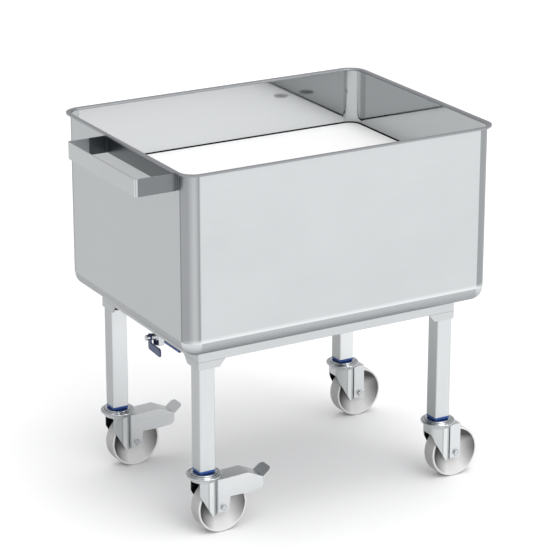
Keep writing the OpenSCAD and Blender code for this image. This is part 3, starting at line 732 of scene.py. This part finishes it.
def ease_sheet_edges():
    """Rounds the edges of every node that EASED names."""
    for node in sorted(frame["nodes"]):
        key = entry_for(node, EASED)
        if key:
            ease(node, EASED[key])


# Casters, in millimetres. A profile's points are pairs of radius and height
PIN_DOWN = 14.1  # the king pin's reach below the ring's underside
PIN_UP = 29.9  # and above it, into the leg plug
WHEEL_R = 62.5
WHEEL_HALF = 19  # half the tread's width
TREAD_ROUND = 3  # rounding of the tread's edges
RING_IN = WHEEL_R - 5  # inner radius of the flat ring beside the tread
HUB_R = 12
BORE_R = 8  # where the wheel sits on its sleeve
BOWL_IN = HUB_R + 3  # where the bowl between hub and ring starts
BOWL_DEPTH = 12.5
BOWL_CURVE = 2.2  # power of the bowl's curve: the higher, the flatter its bottom
BOWL_STEPS = 14


def swivel_profile():
    """Ring with its king pin: rolled rim, two grooves and a raised seat for the leg plug."""
    head = [(0, -PIN_DOWN), (8.2, -PIN_DOWN), (9, 0.8 - PIN_DOWN), (9, 3 - PIN_DOWN)]
    pin = head + [(6, 3 - PIN_DOWN), (6, 3.1), (29, 3.1), (29, 0)]
    rim = arc(37.9, 3.1, 3.1, -90, 95, 10)
    first_groove = [(36.6, 5.9), (36.3, 5.0), (35.7, 5.0), (35.4, 5.9)]
    roll = arc(33.4, 5.7, 1.9, 10, 165, 8)
    second_groove = [(31.2, 5.3), (30.8, 5.3)]
    seat = arc(28.4, 7.5, 2.2, -10, 90)
    end = [(6, 9.7), (6, PIN_UP), (0, PIN_UP)]
    return pin + rim + first_groove + roll + second_groove + seat + end


def wheel_profile():
    """Half of the cast wheel's section from the tread to the bore, mirrored to a closed ring."""
    edge = (WHEEL_R - TREAD_ROUND, WHEEL_HALF - TREAD_ROUND)
    tread = arc(*edge, TREAD_ROUND, 0, 90, 5) + [(RING_IN + 0.6, WHEEL_HALF)]
    bowl = []
    for step in range(BOWL_STEPS, -1, -1):
        out = step / BOWL_STEPS
        sunk = BOWL_DEPTH * (1 - out**BOWL_CURVE)
        bowl.append((BOWL_IN + (RING_IN - BOWL_IN) * out, WHEEL_HALF - 0.5 - sunk))
    root = arc(HUB_R + 2.5, WHEEL_HALF - 7.5, 2.4, 270, 180, 4)
    hub = [(HUB_R, WHEEL_HALF - 0.8), (HUB_R - 0.8, WHEEL_HALF), (BORE_R, WHEEL_HALF)]
    near = tread + bowl + root + hub
    return near + [(r, -h) for r, h in reversed(near)]


def turn_ring(corner):
    """Swivel ring with its king pin, turned about the swivel's axis."""
    node = "race_" + corner
    low, high = box_of(node)
    centre = Vector(((low.x + high.x) / 2, (low.y + high.y) / 2, low.z + PIN_DOWN * MM))
    work = turned(swivel_profile(), centre, Vector((0, 0, 1)), 72)
    hang("swivel_ring_" + corner, work, node, finish_of(node), [node])


def turn_wheel(corner):
    """Dished wheel, turned about its axle: nylon, then the ring, then the tread outside it."""
    node = "wheel_" + corner
    hub = middle(node)
    work = turned(wheel_profile(), hub, Vector((0, 1, 0)), 96, closed=True)
    for face in work.faces:
        away = face.calc_center_median() - hub
        radius = math.hypot(away.x, away.z)
        beyond = (radius > RING_IN * MM, radius > (WHEEL_R - 0.8) * MM)
        face.material_index = sum(beyond)
    made = hang("dished_wheel_" + corner, work, node, finish_of(node), [node])
    made.data.materials.append(MATERIALS["wheel_ring"])
    made.data.materials.append(MATERIALS["tread"])


def turn_casters():
    """Swivel rings and wheels, each turned about its own axis."""
    for corner in CORNERS:
        turn_ring(corner)
        turn_wheel(corner)


# Welds
RIPPLE = 0.5  # length of a ripple, as a share of the bead's width
RIPPLE_ROWS = 4
BEAD_SIDES = 10
SWELL = 0.16  # how much a ripple swells
TIP = 0.3  # width of the bead's tips, as a share
TIP_GROWTH = 3  # shares of the width that a tip gains in one ripple, up to the whole
WALL_IN = 0.6 * MM  # how far the handle's beads lie in from its back
SIDE_IN = 1.2 * MM  # and the upright ones from its sides
UNDER_IN = 6 * MM  # how far the bead under it stops short of its sides
PLATE_INSET = 3 * MM  # how far a plate's bead stops short of the leg's corners
SIDE_BEAD, UNDER_BEAD, PLATE_BEAD = 2.0, 2.6, 1.8  # widths in millimetres


def bead(name, node, start, stop, width):
    """Rippled weld bead of width millimetres from start to stop, each ripple a drop of filler."""
    start, stop = Vector(start), Vector(stop)
    ripples = round((stop - start).length / (RIPPLE * width * MM))
    work = bmesh.new()
    bmesh.ops.create_grid(
        work, x_segments=RIPPLE_ROWS * ripples, y_segments=BEAD_SIDES, size=0.5
    )
    turn = (stop - start).to_track_quat("Z", "Y").to_matrix()
    for vert in work.verts:
        along, round_it = vert.co.x + 0.5, (vert.co.y + 0.5) * math.tau
        swell = 1 - SWELL + SWELL * math.cos(math.tau * ripples * along)
        taper = min(1, TIP + TIP_GROWTH * min(along, 1 - along) * ripples)
        reach = width / 2 * MM * swell * taper
        ring = Vector((math.cos(round_it) * reach, math.sin(round_it) * reach, 0))
        vert.co = start.lerp(stop, along) + turn @ ring
    bmesh.ops.remove_doubles(work, verts=work.verts, dist=MERGE)
    bmesh.ops.holes_fill(work, edges=[e for e in work.edges if e.is_boundary], sides=0)
    bmesh.ops.recalc_face_normals(work, faces=work.faces)
    hang(name, work, node, MATERIALS["weld"])


def weld_handle():
    """Beads up both sides of the handle's back strip and along under it."""
    low, high = box_of("handle")
    wall = high.x - WALL_IN
    bottom, top = low.z + MM, high.z - MM
    for side, y in (("front", low.y + SIDE_IN), ("rear", high.y - SIDE_IN)):
        bead("handle_weld_" + side, "handle", (wall, y, bottom), (wall, y, top), SIDE_BEAD)
    first, last = low.y + UNDER_IN, high.y - UNDER_IN
    start, stop = (wall, first, low.z), (wall, last, low.z)
    bead("handle_weld_under", "handle", start, stop, UNDER_BEAD)


def weld_plates():
    """Beads under each corner plate, along the two outer faces of its leg."""
    for corner in CORNERS:
        node = "gusset_" + corner
        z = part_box(node)[0][2]
        low, high = box_of("leg_" + corner)
        y = low.y if corner.endswith("front") else high.y
        x = low.x if corner.startswith("handle") else high.x
        first, last = low + Vector((PLATE_INSET,) * 3), high - Vector((PLATE_INSET,) * 3)
        start, stop = (first.x, y, z), (last.x, y, z)
        bead("plate_weld_" + corner, node, start, stop, PLATE_BEAD)
        start, stop = (x, first.y, z), (x, last.y, z)
        bead("plate_weld_end_" + corner, node, start, stop, PLATE_BEAD)


place_camera()
light_studio()
sheet_metals()
small_metals()
plastics()
dress()
ease_sheet_edges()
turn_casters()
weld_handle()
weld_plates()
lay_floor()
